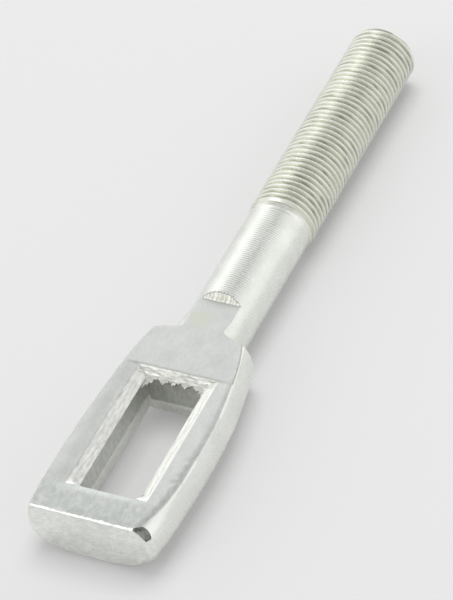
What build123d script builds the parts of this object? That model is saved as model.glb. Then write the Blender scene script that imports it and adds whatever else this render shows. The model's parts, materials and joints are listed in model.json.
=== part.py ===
"""Adjusting bolt: a fine-threaded bolt with an oval, slotted head, forged in one piece.

The bolt lies at rest. Its axis runs along +Y, from the head's end face to the threaded tip,
and the surface it lies on is Z = 0. The origin is on that surface, under the middle of the
bolt's length. All sizes are in millimetres.

The head is a barrel-sided forging with an oval section. One flat is cut along its top, over
the head and on over the neck, where a ramp runs out of the shank. A bevelled rectangular
slot goes through the head, square to the flat.
"""

from build123d import *
import math
import os

# Thread and shank
thread_diameter = 16.0
thread_pitch = 1.5
thread_length = 61.7
runout_length = 1.5
tip_chamfer = 1.0
shank_length = 39.5
blank_drop = 0.65  # how much thinner than the thread its rolled blank is, in pitches

# Head: overall form
head_length = 55.5
head_width = 31.6
head_end_width = 28.8
head_shoulder_width = 23.6
widest_from_end = 25.0
section_exponent_below = 2.5
section_exponent_above = 2.9
section_rise = 10.0
section_steps = 16  # points along each half of a section
section_count = 6  # sections along the head
flat_height = 5.6

# Head: end face, shoulder and neck
end_chamfer = 1.1
flat_edge_chamfer = 0.6
shoulder_slope = 21.0
neck_fillet = 1.5
neck_flat_length = 10.7
ramp_angle = 36.0

# Slot through the head
slot_width = 14.0
slot_length = 34.2
slot_end_wall = 8.0
slot_corner_radius = 0.8
bevel_width = 2.6
bevel_far_width = 2.0
bevel_depth = 1.05
foot_bevel_width = 1.7
foot_bevel_far_width = 1.1
foot_bevel_depth = 5.8

# Worked out from the sizes above
thread_radius = thread_diameter / 2
shank_radius = thread_radius - blank_drop * thread_pitch / 2
head_depth = thread_radius  # the head's underside is flush with the thread's
axis_height = thread_radius
bolt_length = head_length + shank_length + runout_length + thread_length
end_y = -bolt_length / 2
shoulder_y = end_y + head_length
runout_y = shoulder_y + shank_length
tip_y = end_y + bolt_length
flat_z = axis_height + flat_height
shoulder_tan = math.tan(math.radians(shoulder_slope))
clear = 2.0  # how far a cutting shape stands outside what it cuts

bolt_axis = Axis((0, 0, axis_height), (0, 1, 0))


def half_width(distance):
    """Half the head's width at a distance from its end face: a parabola through three widths."""
    stations = {
        0.0: head_end_width / 2,
        widest_from_end: head_width / 2,
        head_length: head_shoulder_width / 2,
    }
    total = 0.0
    for place, width in stations.items():
        share = 1.0
        for other in stations:
            if other != place:
                share *= (distance - other) / (place - other)
        total += share * width
    return total


def oval_points(half, above, below, steps=section_steps):
    """Points all round an oval: a superellipse above the axis, and a fuller one below it."""
    points = []
    for step in range(2 * steps):
        turn = math.pi * step / steps
        across, up = math.cos(turn), math.sin(turn)
        rise = above if up > 0 else below
        exponent = section_exponent_above if up > 0 else section_exponent_below
        x = half * math.copysign(abs(across) ** (2 / exponent), across)
        z = rise * math.copysign(abs(up) ** (2 / exponent), up)
        points.append((x, z))
    return points


def across(distance):
    """The plane square to the axis at a distance from the head's end face, +Z up."""
    return Plane(origin=(0, end_y + distance, axis_height), x_dir=(1, 0, 0), z_dir=(0, -1, 0))


def oval_section(distance, inset=0.0):
    """The head's section at a distance from its end face, drawn in all round by an inset."""
    half = half_width(distance) - inset
    with BuildSketch(across(distance)) as sketch:
        with BuildLine():
            Spline(*oval_points(half, section_rise - inset, head_depth - inset), periodic=True)
        make_face()
    return sketch.sketch


def slot_rectangle(level, growth=0.0, far_growth=0.0):
    """A sketch of the slot's outline at a height, grown at its two sides and its far end."""
    near = end_y + slot_end_wall
    far = near + slot_length + far_growth
    side = slot_width / 2 + growth
    with BuildSketch(Plane.XY.offset(level)) as sketch:
        with Locations((0, (near + far) / 2)):
            Rectangle(2 * side, far - near)
    return sketch.sketch


# The shoulder meets the shank in a fillet, tangent to the slope and to the shank
fillet_turn = math.radians(90 - shoulder_slope) / 2
fillet_reach = neck_fillet * math.tan(fillet_turn)
corner_y = shoulder_y + (head_shoulder_width / 2 - shank_radius) * shoulder_tan
slope_dx = math.cos(math.radians(shoulder_slope))
slope_dy = math.sin(math.radians(shoulder_slope))
shank_y = corner_y + fillet_reach
shank_from_end = shank_y - end_y

with BuildPart() as adjusting_bolt:
    # The head's oval forging, made a little long so that the shoulder trims it
    long_run = shank_from_end + clear - end_chamfer
    spans = section_count - 1
    loft([oval_section(end_chamfer + long_run * span / spans) for span in range(section_count)])

    # The wide chamfer round the end face
    loft([oval_section(0.0, inset=end_chamfer), oval_section(end_chamfer)], ruled=True)

    # A bar for the shank and thread, before they are turned to size
    with BuildSketch(across(shank_from_end)):
        Circle(thread_radius + clear)
    extrude(amount=-(bolt_length - shank_from_end + clear))

    # The shoulder, neck, shank, run-out and tip are one turned outline
    with BuildSketch(Plane.XY.offset(axis_height)):
        with BuildLine():
            wide = head_width
            Polyline(
                (0, end_y - clear),
                (wide, end_y - clear),
                (wide, shoulder_y - (wide - head_shoulder_width / 2) * shoulder_tan),
                (shank_radius + fillet_reach * slope_dx, corner_y - fillet_reach * slope_dy),
            )
            TangentArc(
                (shank_radius + fillet_reach * slope_dx, corner_y - fillet_reach * slope_dy),
                (shank_radius, shank_y),
                tangent=(-slope_dx, slope_dy),
            )
            Polyline(
                (shank_radius, shank_y),
                (shank_radius, runout_y),
                (thread_radius, runout_y + runout_length),
                (thread_radius, tip_y - tip_chamfer),
                (thread_radius - tip_chamfer, tip_y),
                (0, tip_y),
                (0, end_y - clear),
            )
        make_face()
    revolve(axis=bolt_axis, mode=Mode.INTERSECT)

    # The flat over the head and neck, from a fine chamfer to the ramp that runs out of the shank
    ramp_foot = shoulder_y + neck_flat_length
    ramp_run = (thread_radius + clear - flat_height) * math.tan(math.radians(ramp_angle))
    with BuildSketch(Plane.YZ):
        with BuildLine():
            Polyline(
                (end_y - clear, flat_z - flat_edge_chamfer - clear),
                (end_y + flat_edge_chamfer, flat_z),
                (ramp_foot, flat_z),
                (ramp_foot + ramp_run, flat_z + thread_radius + clear - flat_height),
                (ramp_foot + ramp_run, flat_z + section_rise),
                (end_y - clear, flat_z + section_rise),
                close=True,
            )
        make_face()
    extrude(amount=head_width, both=True, mode=Mode.SUBTRACT)

    # The slot, its bevel under the flat, and the deeper bevel on the underside
    with BuildSketch(Plane.XY.offset(-clear)):
        with Locations((0, end_y + slot_end_wall + slot_length / 2)):
            RectangleRounded(slot_width, slot_length, slot_corner_radius)
    extrude(amount=flat_z + 2 * clear, mode=Mode.SUBTRACT)

    above = 1 + clear / bevel_depth
    loft(
        [
            slot_rectangle(flat_z - bevel_depth),
            slot_rectangle(flat_z + clear, bevel_width * above, bevel_far_width * above),
        ],
        ruled=True,
        mode=Mode.SUBTRACT,
    )
    below = 1 + clear / foot_bevel_depth
    loft(
        [
            slot_rectangle(foot_bevel_depth),
            slot_rectangle(-clear, foot_bevel_width * below, foot_bevel_far_width * below),
        ],
        ruled=True,
        mode=Mode.SUBTRACT,
    )

adjusting_bolt.part.label = "adjusting_bolt"

os.makedirs("parts", exist_ok=True)
export_step(adjusting_bolt.part, "parts/adjusting_bolt.step")
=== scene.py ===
"""Looks of a forged adjusting bolt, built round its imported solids.

The fields below are millimetres in the bolt's own measures: across (to the right of its axis),
along (from the head's end face towards the threaded tip) and up (from its axis). BoltFrame
turns them into the shared frame's metres.
"""

import json
import logging
import math
from dataclasses import dataclass, replace
from enum import Enum
from typing import Any, Callable, Sequence

import bmesh
import bpy
from bpy.types import Material, NodeSocket
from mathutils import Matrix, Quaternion, Vector, noise


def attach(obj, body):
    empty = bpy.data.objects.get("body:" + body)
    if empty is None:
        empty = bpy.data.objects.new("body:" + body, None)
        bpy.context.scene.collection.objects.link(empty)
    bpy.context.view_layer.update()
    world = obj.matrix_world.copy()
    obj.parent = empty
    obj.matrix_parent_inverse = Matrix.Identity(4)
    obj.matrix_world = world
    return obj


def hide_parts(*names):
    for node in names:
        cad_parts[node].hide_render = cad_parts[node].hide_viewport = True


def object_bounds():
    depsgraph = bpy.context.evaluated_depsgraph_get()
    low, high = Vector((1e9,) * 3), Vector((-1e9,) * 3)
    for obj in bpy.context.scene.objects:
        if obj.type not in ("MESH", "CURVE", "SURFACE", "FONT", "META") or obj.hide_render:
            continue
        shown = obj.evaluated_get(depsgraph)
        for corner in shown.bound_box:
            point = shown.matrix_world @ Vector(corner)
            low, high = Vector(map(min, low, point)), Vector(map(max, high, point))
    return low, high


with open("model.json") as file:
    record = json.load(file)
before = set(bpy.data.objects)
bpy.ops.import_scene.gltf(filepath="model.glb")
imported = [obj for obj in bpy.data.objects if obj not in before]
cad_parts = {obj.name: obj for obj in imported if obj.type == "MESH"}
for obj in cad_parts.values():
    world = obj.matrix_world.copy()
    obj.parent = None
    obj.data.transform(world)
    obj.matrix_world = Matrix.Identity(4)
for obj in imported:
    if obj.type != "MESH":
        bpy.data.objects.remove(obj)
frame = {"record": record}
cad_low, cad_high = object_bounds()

MM = 0.001
TOUCH = 0.01  # millimetres within which two places count as one
WELD = 0.002 * MM
HELIX_WELD = 0.001
WAVE_UNIT = 20.0  # what a wave texture multiplies its scale by
WHITE = (1.0, 1.0, 1.0, 1.0)
SALT_STEP = 17.3
NODE = "adjusting_bolt"
Point = tuple[float, float, float]
Span = tuple[float, float]
Stations = tuple[Span, ...]
Skin = dict[tuple[int, int], Point]
log = logging.getLogger("adjusting_bolt")


class Zone(Enum):
    """The finishes of one plated forging, in the order of a piece's material slots; the struck corner's dark
    finish is partly painted shade and the darker wall copy is wholly painted shade.
    """

    FLAT = 0
    SIDE = 1
    END = 2
    BEVEL = 3
    WALL = 4
    RAMP = 5
    SHANK = 6
    THREAD = 7
    FLARE = 8
    FAR_BEVEL = 9
    # partly bare metal, partly painted shade: the dark finish of the hammer-struck corner facet
    CHIP = 10
    # painted shade: a darker copy of the torn wall's finish, for the far wall's upper part and the right flat
    # edge near the shoulder
    DULL = 11


def lerp(low: float, high: float, share: float) -> float:
    """The value that lies a share of the way from low to high."""
    return low + (high - low) * share


def ease(low: float, high: float, value: float) -> float:
    """A smooth step: 0 where value is at low or before it, 1 at high or past it."""
    share = min(1.0, max(0.0, (value - low) / (high - low)))
    return share * share * (3 - 2 * share)


def bump(middle: float, reach: float, value: float) -> float:
    """A smooth hump: 1 at the middle, 0 from a reach away."""
    return 1 - ease(0.0, reach, abs(value - middle))


def through(stations: Stations, at: float) -> float:
    """A smooth curve through stations.

    Args:
        stations: Pairs of a place and the value there, in rising order of place.
        at: The place asked for. Past either end the end's value holds.

    Returns:
        The value there, with each station's slope taken from its two neighbours.
    """
    if at <= stations[0][0]:
        return stations[0][1]
    if at >= stations[-1][0]:
        return stations[-1][1]
    spot = max(k for k in range(len(stations) - 1) if stations[k][0] <= at)
    slopes = []
    for k in (spot, spot + 1):
        before, after = stations[max(k - 1, 0)], stations[min(k + 1, len(stations) - 1)]
        slopes.append((after[1] - before[1]) / (after[0] - before[0]))
    (x0, y0), (x1, y1) = stations[spot], stations[spot + 1]
    run = x1 - x0
    t = (at - x0) / run
    level = (1 + 2 * t) * (1 - t) ** 2 * y0 + t * t * (3 - 2 * t) * y1
    return level + t * (1 - t) * run * ((1 - t) * slopes[0] - t * slopes[1])


def spread(start: float, *spans: tuple[float, int]) -> list[float]:
    """Stations along a line.

    Args:
        start: The first station.
        spans: For each span that follows, where it stops and how many steps it takes.

    Returns:
        Every station, from the first to the last.
    """
    found = [start]
    for stop, steps in spans:
        found += [lerp(start, stop, (k + 1) / steps) for k in range(steps)]
        start = stop
    return found


def between(lines: Sequence[float], counts: Sequence[int], column: int) -> float:
    """Where a column lies between marked lines.

    Args:
        lines: The places of the lines.
        counts: How many columns there are from each line to the next.
        column: The column, counted from the first line.

    Returns:
        Its place.
    """
    for start, stop, count in zip(lines, lines[1:], counts):
        if column <= count:
            return lerp(start, stop, column / count)
        column -= count
    return lines[-1]


@dataclass(frozen=True)
class Ripple:
    """A layer of smooth unevenness, the same on every run. Salt and offset pick its pattern."""

    height: float
    size: float
    salt: float = 0.0
    stretch: Point = (1.0, 1.0, 1.0)
    offset: Point = (0.0, 0.0, 0.0)

    def at(self, across: float, along: float = 0.0, up: float = 0.0) -> float:
        """How far it stands out or in at a place.

        Args:
            across: The place across the bolt.
            along: The place along the bolt.
            up: The height above the axis.

        Returns:
            The distance, up to about the layer's height.
        """
        terms = zip((across, along, up), self.stretch, self.offset)
        spot = [(c * s + o) / self.size + self.salt * SALT_STEP for c, s, o in terms]
        return self.height * noise.noise(Vector(spot))


Layers = tuple[Ripple, ...]


def uneven(layers: Layers, across: float, along: float = 0.0, up: float = 0.0) -> float:
    """What several layers of unevenness add up to at a place."""
    return sum(layer.at(across, along, up) for layer in layers)


@dataclass(frozen=True)
class BoltFrame:
    """Where the bolt's own measures lie in the shared frame, in metres."""

    end: float
    axis_height: float

    def place(self, across: float, along: float, up: float) -> Vector:
        """A point of the bolt, in the shared frame."""
        return Vector((across * MM, self.end + along * MM, self.axis_height + up * MM))


def mapped_grid(
    columns: int,
    rows: int,
    place: Callable[[int, int], Vector],
    zone: Callable[[int, int], Zone | None],
) -> bmesh.types.BMesh:
    """A sheet of faces whose corners are moved to their places.

    Args:
        columns: Faces along the first direction.
        rows: Faces along the second direction.
        place: Gives a corner's place from its column and row.
        zone: Gives a face's finish from its column and row, or None where there is a hole.

    Returns:
        The sheet, as an open mesh.
    """
    sheet = bmesh.new()
    bmesh.ops.create_grid(sheet, x_segments=columns, y_segments=rows, size=0.5)
    holes = []
    for face in sheet.faces:
        middle = face.calc_center_median()
        finish = zone(int((middle.x + 0.5) * columns), int((middle.y + 0.5) * rows))
        if finish is None:
            holes.append(face)
        else:
            face.material_index = finish.value
    for vert in sheet.verts:
        vert.co = place(round((vert.co.x + 0.5) * columns), round((vert.co.y + 0.5) * rows))
    bmesh.ops.delete(sheet, geom=holes, context="FACES")
    return sheet


def whole(shape: bmesh.types.BMesh) -> list:
    """Every corner, edge and face of a mesh."""
    return [*shape.verts, *shape.edges, *shape.faces]


def add_to(target: bmesh.types.BMesh, extra: bmesh.types.BMesh) -> None:
    """Adds one mesh's faces to another.

    Args:
        target: The mesh that gains them.
        extra: The mesh they come from, which is freed.
    """
    carrier = bpy.data.meshes.new("carrier")
    extra.to_mesh(carrier)
    extra.free()
    target.from_mesh(carrier)
    bpy.data.meshes.remove(carrier)


def finish_piece(
    name: str, shape: bmesh.types.BMesh, finishes: Sequence[Material], crease: float
) -> bpy.types.Object:
    """Closes a mesh and makes it a piece of the bolt.

    Args:
        name: The piece's name.
        shape: Its mesh, which is freed.
        finishes: Its materials, in the order of Zone.
        crease: The angle in degrees from which an edge shows as sharp.

    Returns:
        The object, riding on the part's body in place of the solid.
    """
    bmesh.ops.remove_doubles(shape, verts=shape.verts, dist=WELD)
    bmesh.ops.dissolve_degenerate(shape, edges=shape.edges, dist=WELD / 2)
    bmesh.ops.recalc_face_normals(shape, faces=shape.faces)
    for face in shape.faces:
        face.smooth = True
    for edge in shape.edges:
        if edge.is_manifold:
            edge.smooth = edge.calc_face_angle() < math.radians(crease)
    open_edges = sum(not edge.is_manifold for edge in shape.edges)
    mesh = bpy.data.meshes.new(name)
    shape.to_mesh(mesh)
    shape.free()
    for finish in finishes:
        mesh.materials.append(finish)
    piece = bpy.data.objects.new(name, mesh)
    bpy.context.scene.collection.objects.link(piece)
    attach(piece, "root")
    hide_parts(NODE)
    log.info("%s: %d faces, %d open edges", name, len(mesh.polygons), open_edges)
    return piece


@dataclass
class TurnedForm:
    """The turned outline of the shoulder, its fillet, the shank and the neck's flat."""

    flat: float = 5.6
    shank_radius: float = 7.51
    shoulder_along: float = 55.5
    shoulder_radius: float = 11.8
    shoulder_slope: float = 21.0
    fillet: float = 1.5
    ramp_foot: float = 66.2
    ramp_angle: float = 36.0
    tooth: float = 0.82
    tooth_depth: float = 0.30
    tooth_drift: Ripple = Ripple(0.6, 1.7)
    tooth_fade: float = 0.5
    thread_start: float = 95.0
    undercut: float = 0.30
    undercut_at: float = 58.4
    undercut_reach: float = 2.6
    web: float = 1.25
    web_run: Span = (57.0, 65.5)
    web_top: Span = (50.0, 72.0)
    web_foot: Span = (95.0, 130.0)

    def __post_init__(self) -> None:
        """Works out where the fillet meets the slope and the shank."""
        turn = math.radians(90 - self.shoulder_slope)
        self.tangent = math.tan(math.radians(self.shoulder_slope))
        self.cosine = math.cos(math.radians(self.shoulder_slope))
        corner = self.shoulder_along + (self.shoulder_radius - self.shank_radius) * self.tangent
        self.shank_start = corner + self.fillet * math.tan(turn / 2)
        self.fillet_radius = self.shank_radius + self.fillet * (1 - math.cos(turn))

    def undercut_here(self, along: float) -> float:
        """How far the shallow groove behind the shoulder cuts into the shank."""
        return self.undercut * bump(self.undercut_at, self.undercut_reach, along)

    def web_here(self, angle: float, along: float) -> float:
        """How far the forged web under the flat's left edge stands out of the neck.

        Args:
            angle: The angle round the neck, in radians clockwise from the top.
            along: The place along the bolt.

        Returns:
            The extra radius.
        """
        left = -math.degrees(angle)
        breadth = ease(*self.web_top, left) * (1 - ease(*self.web_foot, left))
        return self.web * breadth * (1 - ease(*self.web_run, along))

    def fillet_turn(self, radius: float) -> float:
        """How far round the fillet a radius lies, in radians from the shank."""
        rise = max(0.0, min(radius, self.fillet_radius) - self.shank_radius)
        return math.acos(1 - rise / self.fillet)

    def along_at(self, radius: float) -> float:
        """Where along the bolt the shoulder or its fillet has a radius.

        Args:
            radius: The radius.

        Returns:
            The place along the bolt.
        """
        if radius >= self.fillet_radius:
            return self.shoulder_along + (self.shoulder_radius - radius) * self.tangent
        return self.shank_start - self.fillet * math.sin(self.fillet_turn(radius))

    def run_in(self, start: float, share: float) -> tuple[float, float]:
        """A point on the shoulder and fillet, between a starting radius and the undercut shank.

        Args:
            start: The radius where the run starts.
            share: How far along the run the point is, from 0 to 1.

        Returns:
            The point's radius and its place along the bolt.
        """
        start = max(start, self.shank_radius)
        slope_run = max(0.0, start - self.fillet_radius) / self.cosine
        turn = self.fillet_turn(start)
        gone = share * (slope_run + turn * self.fillet)
        if gone < slope_run:
            radius = start - gone * self.cosine
            along = self.along_at(radius)
        else:
            left = turn - (gone - slope_run) / self.fillet
            radius = self.shank_radius + self.fillet * (1 - math.cos(left))
            along = self.shank_start - self.fillet * math.sin(left)
        return radius - self.undercut_here(along) * share, along

    def top(self, across: float, along: float) -> float:
        """How high the neck's flat, or the toothed ramp behind it, lets the shank's surface be.

        Args:
            across: The place across the bolt.
            along: The place along the bolt.

        Returns:
            The height above the axis.
        """
        past = along - self.ramp_foot
        if past < 0:
            return self.flat
        teeth = abs(math.sin(math.pi * (across / self.tooth + self.tooth_drift.at(across))))
        past += self.tooth_depth * (teeth - 0.5) * ease(0.0, self.tooth_fade, past)
        return self.flat + past / math.tan(math.radians(self.ramp_angle))


@dataclass(frozen=True)
class Flank:
    """One side of the head: half widths along it, of the flat and of the whole head."""

    edge: Stations
    side: Stations
    bulge: float
    rim: float


@dataclass
class HeadForm:
    """The head, neck and shank: an oval forging with a flat on top and a slot through it.

    Its skin is a net. The columns run over the top from left to right, down the right side, under
    the foot from right to left, and up the left side. The rows run from the middle of the end
    face to its rim, then along the head, over the shoulder and along the shank. Where a field
    holds a pair for the two sides, the left one comes first.
    """

    turned: TurnedForm
    # The oval
    depth: float = 8.0
    middle: float = -1.2
    below_power: float = 2.5
    end_power: float = 3.0
    end_power_run: float = 16.0
    left: Flank = Flank(
        edge=((0, 14.6), (10, 15.1), (25, 14.8), (40, 13.8), (50, 12.5), (57, 10.8)),
        side=((0, 15.7), (12, 15.84), (25, 15.6), (40, 14.8), (57, 12.2)),
        bulge=2.0, rim=0.26,
    )
    right: Flank = Flank(
        edge=(
            (0, 11.05), (4, 12.3), (8, 13.45), (12, 14.12), (16, 14.5), (22, 14.55), (27, 14.72),
            (34, 14.37), (41, 13.48), (50, 11.9), (57, 9.7),
        ),
        side=(
            (0, 13.9), (5, 14.75), (10, 15.15), (16, 15.45), (22, 15.6), (27, 15.62), (34, 15.35),
            (40, 14.85), (50, 13.2), (57, 11.6),
        ),
        bulge=3.0, rim=0.14,
    )
    sharp_edge: float = 44.0
    bend_from: float = 44.6
    foot_angle: float = 130.0
    # The end face
    end_chamfer: float = 1.6
    end_chamfer_run: float = 1.1
    end_finish_lap: float = 0.1
    chamfer_power: float = 1.25
    chamfer_across: Span = (9.0, 12.5)
    chamfer_up: Span = (2.0, 3.6)
    end_break: float = 0.12
    end_half: float = 15.0
    end_edge: float = 0.32
    end_rags: Layers = (Ripple(0.7, 2.2, 4), Ripple(0.5, 0.8, 5))
    end_step: float = 0.10
    end_step_up: Span = (2.5, 4.5)
    end_step_waves: Ripple = Ripple(0.8, 1.7, offset=(0, 4, 0))
    end_inset: float = 0.03
    end_dish: Ripple = Ripple(0.06, 4.0, offset=(0, 0, 7))
    end_foot_round: float = 0.7
    end_round_up: Span = (-1.0, -5.0)
    # The flat
    end_roll: float = 0.11
    end_roll_run: float = 2.0
    near_roll: float = 0.16
    near_roll_run: float = 1.3
    near_roll_spare: float = 1.0
    near_roll_power: float = 0.3
    rail_depth: Span = (0.20, 0.10)
    rail_breadth: float = 3.6
    rail_run: float = 2.0
    rail_step: Span = (-0.2, 0.35)
    flat_waves: Layers = (Ripple(0.018, 5.0), Ripple(0.008, 1.6, 2))
    roll_breadth: Stations = (
        (0, 1.1), (4, 1.2), (8, 1.3), (16, 1.4), (22, 1.2), (27, 1.1), (34, 0.9), (41, 0.9), (46, 0.7),
    )
    roll_depth: Stations = (
        (0, 0.15), (4, 0.25), (8, 0.33), (16, 0.38), (22, 0.30), (27, 0.27), (34, 0.20), (41, 0.14),
        (46, 0.0),
    )
    roll_power: float = 1.5
    # The slot and its bevel
    slot_half: float = 7.03
    slot_near: float = 8.0
    slot_far: float = 42.2
    bevel: float = 2.57
    bevel_far: float = 1.95
    bevel_depth: float = 1.2
    bevel_room: float = 0.8
    bevel_starts: Span = (0.35, 2.6)
    torn_side: Layers = (Ripple(0.09, 1.0, 3, (2.0, 0.22, 1)), Ripple(0.03, 0.6, 9, (2.0, 0.6, 1)))
    torn_far: Layers = (Ripple(0.10, 0.9, 3, (0.3, 2.0, 1)), Ripple(0.05, 0.5, 8))
    torn_power: float = 0.5
    burr: float = 0.50
    burr_teeth: Layers = (Ripple(0.7, 1.6, offset=(0, 3, 0)), Ripple(1.0, 0.42, offset=(0, 9, 0)))
    burr_corners: Stations = ((2.3, 0.9), (1.5, 0.8))
    burr_droop: float = 0.35
    near_rag: Ripple = Ripple(0.05, 1.4, offset=(0, 1, 0))
    side_rags: Layers = (
        Ripple(0.10, 1.1, stretch=(1, 1, 0), offset=(5, 0, 0)),
        Ripple(0.06, 0.5, offset=(8, 0, 0)),
    )
    right_wear: Stations = (
        (8, 0), (11, 0.15), (16, 0.5), (22, 0.75), (30, 0.75), (35, 0.55), (40, 0.3), (42.2, 0),
    )
    # The underside and the slot's walls
    foot_line: float = 9.93
    foot_flare: float = 1.7
    foot_flare_far: float = 1.1
    flare_fade: Span = (0.5, 4.0)
    foot_lift: float = 0.7
    lift_half: float = 8.4
    lift_end_run: float = 1.6
    lift_slot_run: float = 2.0
    kink: float = -1.3
    kink_far: float = -3.4
    kink_groove: float = 0.14
    kink_reach: float = 0.5
    wall_lip: float = 0.09
    wall_tears: Ripple = Ripple(0.07, 1.0, stretch=(1.5, 1.5, 1))
    wall_scores: Ripple = Ripple(0.10, 1.3, stretch=(1, 1, 0.15))
    wall_scored: Span = (0.05, 0.2)
    wall_power: float = 0.3
    # Wear
    hammered: float = 0.05
    hammer: Layers = (Ripple(0.05, 4.0), Ripple(0.02, 1.3))
    hammer_fade: float = 1.5
    blows: tuple[tuple[Point, Point], ...] = (((11.27, 0.72, 4.73), (0.54, -0.60, 0.59)),)
    blow_reach: float = 8.0
    blow_flush: float = 0.05
    blow_waves: Ripple = Ripple(0.10, 0.9, 5)
    dents: tuple[tuple[Point, float, float], ...] = (
        ((12.9, 21.0, 5.4), 0.9, 0.09),
        ((13.1, 16.6, 5.3), 0.9, 0.10),
        ((12.7, 14.4, 5.4), 1.0, 0.12),
        ((-8.6, 9.2, 5.2), 1.0, 0.25),
    )
    ramp_lip: float = 0.30
    ramp_rim: float = 0.02
    # The net
    edge_columns: int = 12
    bevel_columns: int = 10
    slot_columns: int = 48
    foot_columns: int = 2
    upper_side_columns: int = 12
    lower_side_columns: int = 17
    face_rows: tuple[float, ...] = (0.0, 0.25, 0.5, 0.7, 0.85, 0.93, 0.975)
    turned_rows: int = 14
    wall_rows: int = 40
    crease: float = 32.0

    def __post_init__(self) -> None:
        """Sets out the columns round the bolt and the rows along it."""
        turned = self.turned
        self.flat = turned.flat
        self.bevel_end = self.slot_far + self.bevel_far
        self.heads = spread(
            0.0, (0.45, 3), (self.end_chamfer_run, 3), (2.4, 5), (self.slot_near, 11), (8.6, 5), (40.0, 62),
            (self.slot_far, 12), (self.bevel_end, 11), (self.bend_from, 3), (turned.shoulder_along, 22),
        )
        self.slot_first = self.heads.index(self.slot_near)
        self.slot_last = self.heads.index(self.slot_far)
        self.shanks = spread(
            turned.shank_start, (turned.ramp_foot, 14), (68.0, 18), (turned.thread_start, 27)
        )[1:]
        half = (self.edge_columns, self.bevel_columns)
        self.top_counts = (*half, self.slot_columns, *reversed(half))
        self.top_lines = sum(self.top_counts)
        self.side_lines = self.upper_side_columns + self.lower_side_columns
        self.foot_counts = (self.foot_columns, self.slot_columns, self.foot_columns)
        self.foot_lines = sum(self.foot_counts)
        self.columns = self.top_lines + 2 * self.side_lines + self.foot_lines
        self.mouth_top = self.edge_columns + self.bevel_columns
        self.mouth_foot = self.top_lines + self.side_lines + self.foot_columns
        self.first_head = len(self.face_rows)
        self.first_turned = self.first_head + len(self.heads)
        self.first_shank = self.first_turned + self.turned_rows
        self.rows = self.first_shank + len(self.shanks)

    # The outline

    def top_across(self, column: int, left: float, right: float) -> float:
        """Where across the flat a column of the top lies.

        Args:
            column: The column, counted from the left.
            left: How far left the flat's edge is.
            right: How far right the flat's edge is.

        Returns:
            The place across.
        """
        mouth = self.slot_half + self.bevel
        narrowed = [min(1.0, self.bevel_room * edge / mouth) for edge in (left, right)]
        lines = [-left, -narrowed[0] * mouth, -narrowed[0] * self.slot_half]
        lines += [narrowed[1] * self.slot_half, narrowed[1] * mouth, right]
        return between(lines, self.top_counts, column)

    def foot_across(self, column: int) -> float:
        """Where across the underside a column lies.

        Args:
            column: The column, counted from the left.

        Returns:
            The place across.
        """
        opening = self.slot_half + self.foot_flare
        lines = (-self.foot_line, -opening, opening, self.foot_line)
        return between(lines, self.foot_counts, column)

    def lower_power(self, flank: Flank, along: float) -> float:
        """How square the oval's lower half is: squarer on the left near the end face.

        Args:
            flank: The side asked about.
            along: The place along the bolt.

        Returns:
            The oval's power, where 2 is a plain ellipse.
        """
        if flank is self.right:
            return self.below_power
        return lerp(self.end_power, self.below_power, ease(0.0, self.end_power_run, along))

    def side_point(self, step: int, flank: Flank, along: float) -> tuple[float, float]:
        """A point on one side of the head.

        Args:
            step: Which column it is on, counted from the flat's edge down.
            flank: The side it is on.
            along: The place along the bolt.

        Returns:
            How far out and how high it is.
        """
        edge, side = through(flank.edge, along), through(flank.side, along)
        top = self.flat - (through(self.roll_depth, along) if flank is self.right else 0.0)
        if step <= self.upper_side_columns:
            up = lerp(top - flank.rim, 0.0, (step - 1) / (self.upper_side_columns - 1))
            return side - (side - edge) * (up / top) ** flank.bulge, up
        power = self.lower_power(flank, along)
        turn = math.acos((self.foot_line / side) ** (power / 2))
        turn *= (step - self.upper_side_columns) / self.lower_side_columns
        return side * math.cos(turn) ** (2 / power), -self.depth * math.sin(turn) ** (2 / power)

    def section(self, column: int, along: float) -> tuple[float, float]:
        """The head's outline before its details are cut.

        Args:
            column: The column round the bolt.
            along: The place along the bolt.

        Returns:
            The place across and up.
        """
        if column <= self.top_lines:
            edges = [through(flank.edge, along) - flank.rim for flank in (self.left, self.right)]
            return self.top_across(column, *edges), self.flat
        column -= self.top_lines
        if column <= self.side_lines:
            return self.side_point(column, self.right, along)
        column -= self.side_lines
        if column > self.foot_lines:
            across, up = self.side_point(self.side_lines + self.foot_lines - column, self.left, along)
            return -across, up
        across = self.foot_across(self.foot_lines - column)
        flank = self.right if across > 0 else self.left
        power = self.lower_power(flank, along)
        inner = 1 - (abs(across) / through(flank.side, along)) ** power
        return across, -self.depth * inner ** (1 / power)

    # The flat's own relief

    def bevel_drop(self, across: float, along: float) -> float:
        """How far the slot's bevel lies under the flat.

        Args:
            across: The place across the bolt.
            along: The place along the bolt.

        Returns:
            The depth, which is nothing outside the bevel.
        """
        side = (abs(across) - self.slot_half) / self.bevel
        far = (along - self.slot_far) / self.bevel_far
        if side > 1 or far > 1 or along < self.slot_near:
            return 0.0
        share = max(side, far, 0.0)
        torn = uneven(self.torn_far if far > side else self.torn_side, across, along)
        torn *= bump(0.5, 0.5, share) ** self.torn_power
        fade = ease(0.0, self.bevel_starts[across > 0], along - self.slot_near)
        return max(0.0, (self.bevel_depth * (1 - share) + torn) * fade)

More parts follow.
